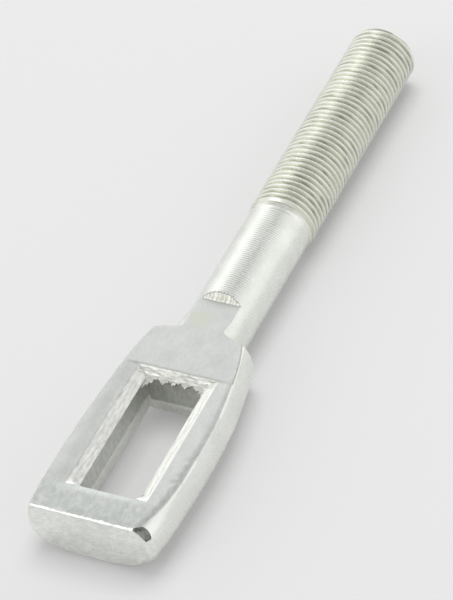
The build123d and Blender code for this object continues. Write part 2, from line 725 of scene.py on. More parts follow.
    def flat_relief(self, across: float, along: float) -> float:
        """The flat's height over its true level: rolled edges, sunk rails and waves.

        Args:
            across: The place across the bolt.
            along: The place along the bolt.

        Returns:
            The height, which is mostly less than nothing.
        """
        relief = uneven(self.flat_waves, across, along)
        relief -= self.end_roll * max(0.0, 1 - along / self.end_roll_run) ** 2
        if along <= self.slot_near + TOUCH:
            beside = bump(0.0, self.slot_half + self.near_roll_spare, across) ** self.near_roll_power
            relief -= self.near_roll * beside * ease(-self.near_roll_run, 0.0, along - self.slot_near)
        sunk = ease(-self.rail_run, self.rail_run, along - self.slot_near)
        sunk *= 1 - ease(*self.rail_step, along - self.bevel_end)
        sunk *= 1 - ease(0.0, self.rail_breadth, abs(across) - self.slot_half - self.bevel)
        to_edge = through(self.right.edge, along) - self.right.rim - across
        rolled = max(0.0, 1 - to_edge / through(self.roll_breadth, along)) ** self.roll_power
        return relief - self.rail_depth[across > 0] * sunk - rolled * through(self.roll_depth, along)

    def far_burr(self, across: float) -> float:
        """How far the torn metal along the slot's far mouth hangs out over the slot.

        Args:
            across: The place across the bolt.

        Returns:
            The distance, which grows in both corners.
        """
        reach = max(0.0, self.burr + uneven(self.burr_teeth, across))
        for (breadth, slope), inward in zip(self.burr_corners, (across, -across)):
            reach += slope * max(0.0, breadth - self.slot_half - inward)
        return reach

    def slot_mouth(self, across: float, along: float) -> tuple[float, float]:
        """The ragged line that a point on the slot's upper edge moves to.

        Args:
            across: The point's place across the bolt.
            along: Its place along the bolt.

        Returns:
            Its new place across and along.
        """
        if along >= self.slot_far - TOUCH:
            return across, along - self.far_burr(across)
        if along <= self.slot_near + TOUCH:
            return across, along + self.near_rag.at(across)
        worn = uneven(self.side_rags, 0.0, along, across)
        if across < 0:
            return -self.slot_half + abs(worn), along
        return self.slot_half + through(self.right_wear, along) + worn, along

    # Placing the skin

    def end_trim(self, across: float, along: float, up: float) -> tuple[float, float]:
        """Breaks the end face's rim: rags on top, a chamfer low on the right, a round below.

        Args:
            across: The place across the bolt.
            along: The place along the bolt.
            up: The height above the axis.

        Returns:
            The trimmed place across and up.
        """
        share = 1 - along / self.end_chamfer_run
        corner = ease(*self.chamfer_across, across) * (1 - ease(*self.chamfer_up, up))
        inset = lerp(self.end_break, self.end_chamfer, corner) * share**self.chamfer_power
        rounding = 1 - math.sqrt(max(0.0, 1 - share**2))
        inset = max(inset, self.end_foot_round * ease(*self.end_round_up, up) * rounding)
        ragged = self.end_edge * (1 + uneven(self.end_rags, across)) - along
        across *= 1 - inset / self.end_half
        rise = up - self.middle
        if rise > 0:
            inset = max(0.0, ragged)
        return across, self.middle + rise * (1 - inset / (self.flat - self.middle))

    def top_point(self, column: int, across: float, along: float, up: float) -> Point:
        """A point of the flat, with its relief, its bevel and the slot's ragged edge.

        Args:
            column: The column, counted from the left.
            across: The place across the bolt.
            along: The place along the bolt.
            up: The height above the axis.

        Returns:
            The point.
        """
        up += self.flat_relief(across, max(along, self.end_chamfer_run)) - self.bevel_drop(across, along)
        in_mouth = self.mouth_top <= column <= self.mouth_top + self.slot_columns
        if not (in_mouth and self.slot_near - TOUCH < along < self.slot_far + TOUCH):
            return across, along, up
        if along >= self.slot_far - TOUCH:
            up -= self.burr_droop * self.far_burr(across)
        return *self.slot_mouth(across, along), up

    def head_point(self, column: int, along: float) -> Point:
        """A point of the head's skin, before its shoulder is turned.

        Args:
            column: The column round the bolt.
            along: The place along the bolt.

        Returns:
            The point.
        """
        across, up = self.section(column, along)
        if along < self.end_chamfer_run:
            across, up = self.end_trim(across, along, up)
        if column <= self.top_lines:
            return self.top_point(column, across, along, up)
        stretched = along
        if 0 <= column - self.top_lines - self.side_lines <= self.foot_lines:
            stretch = ease(self.slot_near, self.slot_far, along)
            stretch *= 1 - ease(*self.flare_fade, along - self.slot_far)
            stretched += self.foot_flare_far * stretch
            past = max(along - self.slot_far - self.foot_flare_far, self.slot_near - along)
            past = max(past, abs(across) - self.lift_half)
            flush = min(ease(0.0, self.lift_end_run, along), ease(0.0, self.lift_slot_run, past))
            up = max(up, self.foot_lift * (1 - flush) - self.depth)
        inward = max(0.0, self.hammered + uneven(self.hammer, across, along, up))
        kept = 1 - inward * ease(0.0, self.hammer_fade, self.flat - up) / math.hypot(across, up)
        return across * kept, stretched, up * kept

    def bent(self, column: int, along: float) -> float:
        """Where a row near the shoulder bends to, so that the last one meets the turned slope.

        Args:
            column: The column round the bolt.
            along: The row's place along the bolt before it is bent.

        Returns:
            Its place along the bolt on this column.
        """
        turned = self.turned
        spot = self.section(column, turned.shoulder_along)
        if column <= self.top_lines:
            spot = self.section(0 if spot[0] < 0 else self.top_lines, turned.shoulder_along)
        share = (along - self.bend_from) / (turned.shoulder_along - self.bend_from)
        return lerp(self.bend_from, turned.along_at(math.hypot(*spot)), share)

    def place(self, column: int, row: int) -> Point:
        """A corner of the skin.

        Args:
            column: The column round the bolt.
            row: The row along it.

        Returns:
            The corner's place.
        """
        if row >= self.first_shank:
            return self.shank_point(column, self.shanks[row - self.first_shank])
        if row >= self.first_turned:
            return self.turned_point(column, (row - self.first_turned + 1) / self.turned_rows)
        if row >= self.first_head:
            along = self.heads[row - self.first_head]
            return self.head_point(column, self.bent(column, along) if along > self.bend_from else along)
        across, along, up = self.head_point(column, 0.0)
        share = self.face_rows[row]
        along += self.end_inset + self.end_dish.at(across * share, up * share) * (1 - share)
        step = self.end_step * ease(*self.end_step_up, up * share)
        along += step * (1 + self.end_step_waves.at(across))
        return across * share, along, lerp(self.middle, up, share)

    def turned_point(self, column: int, share: float) -> Point:
        """A point of the shoulder and its fillet.

        Args:
            column: The column round the bolt.
            share: How far it is from the head to the shank, from 0 to 1.

        Returns:
            The point.
        """
        turned = self.turned
        if column <= self.top_lines:
            sides = []
            for edge in (0, self.top_lines):
                start = math.hypot(*self.section(edge, turned.shoulder_along))
                radius, along = turned.run_in(start, share)
                sides.append((math.sqrt(max(0.0, radius**2 - self.flat**2)), along))
            across = self.top_across(column, sides[0][0], sides[1][0])
            along = lerp(sides[0][1], sides[1][1], ease(-1.0, 1.0, across / sides[1][0]))
            return across, along, self.flat + self.flat_relief(across, along) * (1 - share)
        across, _, up = self.head_point(column, turned.shoulder_along)
        radius, along = turned.run_in(math.hypot(across, up), share)
        angle, final = math.atan2(across, up), self.shank_angle(column)
        if final > 0:
            angle %= 2 * math.pi
        angle = lerp(angle, final, share)
        radius += turned.web_here(angle, along) * share
        return radius * math.sin(angle), along, radius * math.cos(angle)

    def shank_angle(self, column: int) -> float:
        """The angle round the shank of a column of its side or foot.

        Args:
            column: The column round the bolt.

        Returns:
            The angle in radians, clockwise from the top, and negative on the left side.
        """
        edge = math.acos(self.flat / self.turned.shank_radius)
        foot = math.radians(self.foot_angle)
        column -= self.top_lines
        if column <= self.side_lines:
            return lerp(edge, foot, column / self.side_lines)
        column -= self.side_lines
        if column <= self.foot_lines:
            return lerp(foot, 2 * math.pi - foot, column / self.foot_lines)
        return -lerp(foot, edge, (column - self.foot_lines) / self.side_lines)

    def shank_point(self, column: int, along: float) -> Point:
        """A point of the neck or shank.

        Args:
            column: The column round the bolt.
            along: The place along the bolt.

        Returns:
            The point.
        """
        radius = self.turned.shank_radius - self.turned.undercut_here(along)
        if column <= self.top_lines:
            edge = math.sqrt(radius**2 - self.flat**2)
            across = self.top_across(column, edge, edge)
            return across, along, min(math.sqrt(radius**2 - across**2), self.turned.top(across, along))
        angle = self.shank_angle(column)
        radius += self.turned.web_here(angle, along)
        return radius * math.sin(angle), along, radius * math.cos(angle)

    # Finishes

    def zone(self, column: int, row: int) -> Zone | None:
        """The finish of a face of the skin, or None in the slot's two mouths.

        Args:
            column: The face's column round the bolt.
            row: Its row along the bolt.

        Returns:
            The finish.
        """
        head_row = row - self.first_head
        if self.slot_first <= head_row < self.slot_last:
            if any(0 <= column - first < self.slot_columns for first in (self.mouth_top, self.mouth_foot)):
                return None
        if head_row < 0:
            return Zone.END
        if row < self.first_turned:
            return self.head_zone(column, head_row)
        if column >= self.top_lines:
            return Zone.SHANK
        return self.neck_zone(column, row - self.first_shank)

    def head_zone(self, column: int, head_row: int) -> Zone:
        """The finish of a face along the head.

        Args:
            column: The face's column round the bolt.
            head_row: Its row, counted from the end face.

        Returns:
            The finish.
        """
        along = self.heads[head_row]
        on_top = column < self.top_lines
        if along < (self.end_edge if on_top else self.end_chamfer_run - self.end_finish_lap):
            return Zone.END
        # painted shade: the right flat edge near the shoulder takes the darker copy of the wall finish for a
        # dark edge line
        if column == self.top_lines and along > self.sharp_edge:
            return Zone.DULL
        # painted highlight: the left side's top column takes the bright bevel finish for a glint line along
        # the edge
        if column == self.columns - 1 and self.slot_near < along < self.sharp_edge:
            return Zone.BEVEL
        if not on_top:
            return Zone.SIDE
        beside_slot = self.edge_columns <= column < self.top_lines - self.edge_columns
        if beside_slot and self.slot_first <= head_row < self.heads.index(self.bevel_end):
            return Zone.FAR_BEVEL if head_row >= self.slot_last else Zone.BEVEL
        return Zone.FLAT

    def neck_zone(self, column: int, shank_row: int) -> Zone:
        """The finish of a face on top of the neck or shank.

        Args:
            column: The face's column round the bolt.
            shank_row: Its row, counted from the fillet's end.

        Returns:
            The finish.
        """
        if shank_row < 0 or self.shanks[shank_row] <= self.turned.ramp_foot + TOUCH:
            return Zone.FLAT
        across, _, up = self.shank_point(column, self.shanks[shank_row])
        under = math.sqrt(self.turned.shank_radius**2 - across**2) - up
        if under > self.ramp_lip:
            return Zone.RAMP
        # partly painted shade, partly a burr: the thin strip at the ramp's top takes the darker wall finish
        # for the dark line along the crease
        return Zone.WALL if under > self.ramp_rim else Zone.SHANK

    # The slot's walls

    def wall_loop(self) -> list[tuple[int, int, int]]:
        """The slot's mouth, anticlockwise from its near left corner.

        Returns:
            A list of the skin's column on top, its column on the underside, and its row.
        """
        top, foot, far = self.mouth_top, self.mouth_foot + self.slot_columns, self.slot_columns
        first, last = self.first_head + self.slot_first, self.first_head + self.slot_last
        loop = [(top + k, foot - k, first) for k in range(far)]
        loop += [(top + far, foot - far, row) for row in range(first, last)]
        loop += [(top + far - k, foot - far + k, last) for k in range(far)]
        return loop + [(top, foot, row) for row in range(last, first, -1)]

    def wall_point(self, skin: Skin, spot: tuple[int, int, int], share: float) -> Point:
        """A point of the slot's wall.

        Args:
            skin: The skin's corners, by column and row.
            spot: The wall's place in the slot's mouth, as wall_loop gives it.
            share: How far down it is, from 0 at the mouth to 1 at the underside.

        Returns:
            The point.
        """
        top_column, foot_column, row = spot
        mouth, foot = skin[top_column, row], skin[foot_column, row]
        if share <= 0 or share >= 1:
            return foot if share >= 1 else mouth
        level = lerp(mouth[2], foot[2], share)
        true_along = self.heads[row - self.first_head]
        true_across, _ = self.section(top_column, true_along)
        kink = lerp(self.kink, self.kink_far, bump(self.slot_far, self.kink_reach, true_along))
        if level < kink:
            flare = (kink - level) / (kink - foot[2])
            across, along = lerp(true_across, foot[0], flare), lerp(true_along, foot[1], flare)
        else:
            lift = ease(0.0, self.wall_lip, share)
            across, along = lerp(mouth[0], true_across, lift), lerp(mouth[1], true_along, lift)
        torn = self.wall_tears.at(true_across, true_along, level)
        torn += self.wall_scores.at(true_across, true_along, level) * ease(*self.wall_scored, share)
        torn *= bump(0.5, 0.5, share) ** self.wall_power
        torn += self.kink_groove * bump(kink, self.kink_reach, level)
        if abs(abs(true_across) - self.slot_half) < TOUCH and true_along <= self.slot_far - TOUCH:
            return across + math.copysign(torn, true_across), along, level
        return across, along + torn, level

    def wall_zone(self, spot: tuple[int, int, int], row: int) -> Zone:
        """The finish of a face of the slot's wall: its lower part is flared and lighter, and the far wall's
        upper part takes a darker copy of the wall finish as painted shade.

        Args:
            spot: The face's place in the slot's mouth, as wall_loop gives it.
            row: Its row, counted from the mouth down.

        Returns:
            The finish.
        """
        far = spot[2] >= self.first_head + self.slot_last
        level = lerp(self.flat - self.bevel_depth, -self.depth, (row + 0.5) / self.wall_rows)
        if level < (self.kink_far if far else self.kink):
            return Zone.FLARE
        return Zone.DULL if far else Zone.WALL

    # Building

    def build(self, place: BoltFrame, finishes: Sequence[Material]) -> bpy.types.Object:
        """Builds the head, neck and shank as one closed piece.

        Args:
            place: Where the bolt lies.
            finishes: The bolt's materials, in the order of Zone.

        Returns:
            The piece.
        """
        skin = {(c, r): self.place(c, r) for c in range(self.columns) for r in range(self.rows)}
        shape = mapped_grid(
            self.columns,
            self.rows - 1,
            lambda column, row: place.place(*skin[column % self.columns, row]),
            self.zone,
        )
        loop = self.wall_loop()
        walls = mapped_grid(
            len(loop),
            self.wall_rows,
            lambda k, row: place.place(*self.wall_point(skin, loop[k % len(loop)], row / self.wall_rows)),
            lambda k, row: self.wall_zone(loop[k], row),
        )
        add_to(shape, walls)
        bmesh.ops.remove_doubles(shape, verts=shape.verts, dist=WELD)
        bmesh.ops.holes_fill(shape, edges=[edge for edge in shape.edges if edge.is_boundary], sides=0)
        for spot, facing in self.blows:
            self.strike(shape, place.place(*spot), Vector(facing).normalized())
        for spot, reach, depth in self.dents:
            self.dent(shape, place.place(*spot), reach * MM, depth * MM)
        return finish_piece("head_and_shank", shape, finishes, self.crease)

    def strike(self, shape: bmesh.types.BMesh, spot: Vector, facing: Vector) -> None:
        """Flattens what stands out past one hammer blow.

        Args:
            shape: The mesh that is struck.
            spot: A point of the struck face, in the shared frame.
            facing: The way the struck face faces.
        """
        reach = self.blow_reach * MM
        near = [vert for vert in shape.verts if (vert.co - spot).length < reach]
        edges = {edge for vert in near for edge in vert.link_edges}
        faces = {face for vert in near for face in vert.link_faces}
        geom = near + list(edges) + list(faces)
        bmesh.ops.bisect_plane(shape, geom=geom, dist=TOUCH * MM, plane_co=spot, plane_no=facing)
        struck = set()
        for vert in shape.verts:
            out = (vert.co - spot).dot(facing)
            if out > -TOUCH * MM and (vert.co - spot).length < reach:
                sunk = self.blow_waves.at(*vert.co / MM) * MM if out > self.blow_flush * MM else 0.0
                vert.co -= facing * (out + sunk)
                struck.add(vert)
        # The struck faces take a dark finish, partly bare metal and partly painted shade.
        for face in shape.faces:
            if struck.issuperset(face.verts):
                face.material_index = Zone.CHIP.value

    def dent(self, shape: bmesh.types.BMesh, spot: Vector, reach: float, depth: float) -> None:
        """Presses one small round dent into the flat, from above. All lengths are metres."""
        for vert in shape.verts:
            vert.co.z -= depth * bump(0.0, reach, (vert.co - spot).length)


@dataclass
class ThreadForm:
    """The bolt's fine thread, from its run-out on the shank to the chamfered tip."""

    start: float = 94.4
    runout: float = 95.0
    tip: float = 158.2
    pitch: float = 1.5
    crest: float = 7.99
    root: float = 7.12
    blank: float = 7.49
    crest_run: Span = (0.0, 3.4)
    root_run: Span = (0.4, 4.0)
    chamfer: float = 1.0
    crest_at: float = 156.5
    steps: int = 72
    core: float = 1.0
    profile: Stations = (
        (0.0, 0.0), (0.08, 0.02), (0.15, 0.14), (0.37, 0.82), (0.43, 0.955), (0.50, 1.0),
        (0.57, 0.955), (0.63, 0.82), (0.85, 0.14), (0.92, 0.02), (1.0, 0.0),
    )
    ding: Ripple = Ripple(0.16, 1.1, 6)
    ding_floor: float = 0.04
    ding_wrap: float = 8.0
    crease: float = 50.0

    def radius(self, along: float, height: float) -> float:
        """The surface's radius.

        Args:
            along: The place along the bolt.
            height: The share of the thread's full height, from 0 at a root to 1 at a crest.

        Returns:
            The radius.
        """
        past = along - self.runout
        low = lerp(self.blank, self.root, ease(*self.root_run, past))
        high = lerp(self.blank, self.crest, ease(*self.crest_run, past))
        chamfered = self.crest - max(0.0, along - (self.tip - self.chamfer))
        return min(lerp(low, high, height), chamfered)

    def build(self, place: BoltFrame, finishes: Sequence[Material]) -> bpy.types.Object:
        """Builds the thread as one closed piece.

        Args:
            place: Where the bolt lies.
            finishes: The bolt's materials, in the order of Zone.

        Returns:
            The piece.
        """
        shape = self.plain_helix()
        for vert in shape.verts:
            out = Vector((vert.co.x, vert.co.z))
            height, turn = out.length - self.core, out.normalized()
            wrapped = turn * self.ding_wrap
            ding = max(0.0, self.ding.at(wrapped.x, vert.co.y, wrapped.y) - self.ding_floor)
            vert.co.x, vert.co.z = turn * (self.radius(vert.co.y, height) - ding * height)
        self.close_end(shape, self.start, -1)
        self.close_end(shape, self.tip, 1)
        for vert in shape.verts:
            vert.co = place.place(*vert.co)
        return finish_piece("thread", shape, finishes, self.crease)

    def plain_helix(self) -> bmesh.types.BMesh:
        """Spins one pitch of the profile round a thin core, and repeats it past both ends.

        Returns:
            A mesh in millimetres whose height over the core is the share of the thread's height.
        """
        shape = bmesh.new()
        before = math.ceil((self.crest_at - self.start) / self.pitch) + 2
        begin = self.crest_at - (before + 0.5) * self.pitch
        line = [
            shape.verts.new((0.0, begin + share * self.pitch, self.core + height))
            for share, height in self.profile
        ]
        edges = [shape.edges.new(pair) for pair in zip(line, line[1:])]
        bmesh.ops.spin(
            shape,
            geom=line + edges,
            cent=(0, 0, 0),
            axis=(0, 1, 0),
            dvec=(0, self.pitch / self.steps, 0),
            angle=2 * math.pi,
            steps=self.steps,
            use_merge=False,
            use_duplicate=False,
        )
        one_turn = whole(shape)
        for turn in range(1, before + 3):
            copied = bmesh.ops.duplicate(shape, geom=one_turn)["geom"]
            moved = [part for part in copied if isinstance(part, bmesh.types.BMVert)]
            bmesh.ops.translate(shape, verts=moved, vec=(0, turn * self.pitch, 0))
        bmesh.ops.remove_doubles(shape, verts=shape.verts, dist=HELIX_WELD)
        for face in shape.faces:
            face.material_index = Zone.THREAD.value
        return shape

    def close_end(self, shape: bmesh.types.BMesh, along: float, side: int) -> None:
        """Cuts the thread off square and closes it.

        Args:
            shape: The thread, in millimetres.
            along: Where it is cut.
            side: 1 to drop what lies further along, -1 to drop what lies before.
        """
        bmesh.ops.bisect_plane(
            shape, geom=whole(shape), plane_co=(0, along, 0), plane_no=(0, side, 0), clear_outer=True
        )
        rim = [edge for edge in shape.edges if edge.is_boundary and abs(edge.verts[0].co.y - along) < TOUCH]
        made = bmesh.ops.holes_fill(shape, edges=rim, sides=0)
        bmesh.ops.poke(shape, faces=made["faces"])


class Wiring:
    """Adds nodes to one material or world and wires them up."""

    def __init__(self, owner: Material | bpy.types.World) -> None:
        """Switches to nodes and takes hold of them.

        Args:
            owner: The material or world that is wired.
        """
        owner.use_nodes = True
        self.nodes = owner.node_tree.nodes
        self.links = owner.node_tree.links

    def feed(self, node: bpy.types.Node, values: dict[str | int, Any]) -> None:
        """Gives inputs of a node their sources.

        Args:
            node: The node.
            values: For each input's name or number, the socket it is linked to or its plain value.
        """
        for name, value in values.items():
            if isinstance(value, NodeSocket):
                self.links.new(value, node.inputs[name])
            else:
                node.inputs[name].default_value = value

    def node(self, kind: str, values: dict[str | int, Any], output: str, **settings: Any) -> NodeSocket:
        """Adds a node.

        Args:
            kind: Its type, without the leading ShaderNode.
            values: What its inputs take, as in feed.
            output: The name of the output that is wanted.
            settings: Its own properties.

        Returns:
            The output's socket.
        """
        made = self.nodes.new("ShaderNode" + kind)
        for name, value in settings.items():
            setattr(made, name, value)
        self.feed(made, values)
        return made.outputs[output]

    def coordinates(self, kind: str = "Object") -> NodeSocket:
        """The coordinates of the point being shaded, or the direction looked in."""
        return self.node("TexCoord", {}, kind)

    def part(self, where: NodeSocket, axis: str) -> NodeSocket:
        """One part of a vector: X, Y or Z."""
        return self.node("SeparateXYZ", {"Vector": where}, axis)

    def maths(self, operation: str, first: Any, second: Any, use_clamp: bool = False) -> NodeSocket:
        """Joins two values, each a socket or a number, by a sum of the given kind."""
        return self.node("Math", {0: first, 1: second}, "Value", operation=operation, use_clamp=use_clamp)

    def span(
        self, value: NodeSocket, given: Span, wanted: Span = (0.0, 1.0), smooth: bool = False,
        clamp: bool = True,
    ) -> NodeSocket:
        """Maps one range of values onto another.

        Args:
            value: The value.
            given: The two ends of its range.
            wanted: What they become.
            smooth: Whether the slope is soft at both ends.
            clamp: Whether values past the ends are held back, where the slope isn't soft.

        Returns:
            The mapped value.
        """
        ends = {"From Min": given[0], "From Max": given[1], "To Min": wanted[0], "To Max": wanted[1]}
        kind = "SMOOTHSTEP" if smooth else "LINEAR"
        return self.node("MapRange", {"Value": value, **ends}, "Result", interpolation_type=kind, clamp=clamp)

    def blend(self, share: NodeSocket, first: Any, second: Any, kind: str = "MIX") -> NodeSocket:
        """Blends two colours, each a socket or a triple.

        Args:
            share: How much of the second there is.
            first: The first colour.
            second: The second colour.
            kind: The way of blending.

        Returns:
            The blended colour.
        """
        colours = [c if isinstance(c, NodeSocket) else (*c, 1.0) for c in (first, second)]
        values = {"Factor": share, "A": colours[0], "B": colours[1]}
        return self.node("Mix", values, "Result", data_type="RGBA", blend_type=kind)

    def noise(self, where: NodeSocket, stretch: Point, size: float, detail: float) -> NodeSocket:
        """A noise of a given size in millimetres, stretched along the axes.

        Args:
            where: The coordinates, in metres.
            stretch: How many times longer the noise is along each axis.
            size: The breadth of its blotches.
            detail: How many finer layers it has.

        Returns:
            Its value.
        """
        scale = [1 / (size * MM * s) for s in stretch]
        mapped = self.node("Mapping", {"Vector": where, "Scale": scale}, "Vector")
        return self.node("TexNoise", {"Vector": mapped, "Scale": 1.0, "Detail": detail}, "Fac")

    def relief(self, height: NodeSocket, depth: float, under: NodeSocket | None = None) -> NodeSocket:
        """Fine relief that light sees but the outline doesn't.

        Args:
            height: The share of the depth at each point.
            depth: The depth, in millimetres.
            under: The relief it lies on, if any.

        Returns:
            The normal.
        """
        values = {"Strength": 1.0, "Distance": depth * MM, "Height": height}
        if under:
            values["Normal"] = under
        return self.node("Bump", values, "Normal")


@dataclass(frozen=True)
class Fade:
    """A tint over one end of a surface that thins out along the bolt, in cloudy patches."""

    start: float
    stop: float
    tint: Point
    stretch: Point = (1.0, 1.6, 1.0)
    size: float = 1.1
    detail: float = 2.0
    patchy: Span = (0.35, 0.65)
    strength: float = 1.4

    def over(self, wiring: Wiring, where: NodeSocket, colour: NodeSocket) -> NodeSocket:
        """Lays the tint over a colour.

        Args:
            wiring: The material's nodes.
            where: The coordinates, in metres.
            colour: The colour so far.

        Returns:
            The tinted colour.
        """
        faded = wiring.span(wiring.part(where, "Y"), (self.start, self.stop), (1.0, 0.0), smooth=True)
        cloud = wiring.noise(where, self.stretch, self.size, self.detail)
        patches = wiring.span(cloud, self.patchy, (0.0, self.strength), clamp=False)
        share = wiring.maths("MULTIPLY", faded, patches, use_clamp=True)
        return wiring.blend(share, colour, self.tint, "MULTIPLY")


@dataclass(frozen=True)
class GrooveShadeAndDirt:
    """The thread's grooves darkened olive between the bright crests, partly painted shade and partly dirt,
    which gathers here and there.
    """

    start: float
    stop: float
    # painted shade, partly dirt: the grooves' darker olive colours
    colour: Point = (0.64, 0.65, 0.53)
    dirt_and_shade: Point = (0.42, 0.43, 0.34)
    axis_height: float = 8.0 * MM
    radii: Span = (7.5 * MM, 7.96 * MM)
    stretch: Point = (3.0, 0.35, 3.0)
    size: float = 1.5
    detail: float = 2.5
    dirty: Span = (0.50, 0.64)

    def over(self, wiring: Wiring, where: NodeSocket, colour: NodeSocket) -> NodeSocket:
        """Tints the grooves by how near to the axis the surface is.

        Args:
            wiring: The material's nodes.
            where: The coordinates, in metres.
            colour: The colour so far.

        Returns:
            The tinted colour.
        """
        values = {0: where, 1: (1.0, 0.0, 1.0), 2: (0.0, 0.0, -self.axis_height)}
        out = wiring.node("VectorMath", values, "Vector", operation="MULTIPLY_ADD")
        radius = wiring.node("VectorMath", {0: out}, "Value", operation="LENGTH")
        # painted shade: the colour darkens towards the thread's roots
        crest = wiring.span(radius, self.radii, smooth=True)
        before = wiring.span(wiring.part(where, "Y"), (self.start, self.stop), (1.0, 0.0))
        bare = wiring.maths("MAXIMUM", crest, before)
        dirt_and_shade = wiring.span(wiring.noise(where, self.stretch, self.size, self.detail), self.dirty)
        return wiring.blend(bare, wiring.blend(dirt_and_shade, self.colour, self.dirt_and_shade), colour)


@dataclass(frozen=True)
class Stain:
    """One soft yellowish stain on a surface."""

    spot: Point
    reach: float
    tint: Point
    edge: Span = (0.5, 1.1)

    def over(self, wiring: Wiring, where: NodeSocket, colour: NodeSocket) -> NodeSocket:
        """Lays the stain over a colour.

        Args:
            wiring: The material's nodes.
            where: The coordinates, in metres.
            colour: The colour so far.

        Returns:
            The stained colour.
        """
        away = wiring.node("VectorMath", {0: where, 1: self.spot}, "Value", operation="DISTANCE")
        clear = wiring.span(away, tuple(self.reach * share for share in self.edge), smooth=True)
        return wiring.blend(clear, self.tint, colour)


@dataclass(frozen=True)
class PlatedFinish:
    """Bright zinc plate over steel, as one worked surface shows it. Sizes are millimetres."""

    name: str
    colour: Point
    shade: Point
    roughness: float
    rough_change: float = 0.06
    grain: Point = (1.0, 1.0, 1.0)
    grain_size: float = 0.5
    grain_depth: float = 0.02
    grain_share: float = 0.3
    grain_detail: float = 2.2
    blotch_size: float = 4.0
    blotch_detail: float = 3.0
    colour_span: Span = (0.38, 0.62)
    rough_span: Span = (0.3, 0.7)
    ring_pitch: float = 0.0
    ring_depth: float = 0.0
    ring_wobble: float = 0.4
    ring_wobble_size: float = 1.5
    dressings: tuple[Fade | GrooveShadeAndDirt | Stain, ...] = ()

    def material(self) -> Material:
        """Builds the procedural material on the bolt's object coordinates.

        Returns:
            The material.
        """
        made = bpy.data.materials.new(self.name)
        wiring = Wiring(made)
        where = wiring.coordinates()
        blotch = wiring.noise(where, (1.0, 1.0, 1.0), self.blotch_size, self.blotch_detail)
        grain = wiring.noise(where, self.grain, self.grain_size, self.grain_detail)
        values = {"Factor": self.grain_share, "A": blotch, "B": grain}
        both = wiring.node("Mix", values, "Result", data_type="FLOAT")
        colour = wiring.blend(wiring.span(both, self.colour_span), self.shade, self.colour)
        for dressing in self.dressings:
            colour = dressing.over(wiring, where, colour)
        rough = (self.roughness - self.rough_change, self.roughness + self.rough_change)
        relief = wiring.relief(grain, self.grain_depth)
        if self.ring_depth:
            relief = wiring.relief(self.rings(wiring, where), self.ring_depth, relief)
        surface = {"Metallic": 1.0, "Base Color": colour, "Normal": relief}
        surface["Roughness"] = wiring.span(grain, self.rough_span, rough)
        wiring.feed(wiring.nodes["Principled BSDF"], surface)
        return made

    def rings(self, wiring: Wiring, where: NodeSocket) -> NodeSocket:
        """Turning marks: fine rings round the axis, a pitch apart.

        Args:
            wiring: The material's nodes.
            where: The coordinates, in metres.

        Returns:
            Their height.
        """
        scale = 2 * math.pi / (WAVE_UNIT * self.ring_pitch * MM)
        values = {"Vector": where, "Scale": scale, "Distortion": self.ring_wobble}
        values["Detail Scale"] = self.ring_wobble_size
        return wiring.node("TexWave", values, "Fac", bands_direction="Y", wave_profile="SIN")


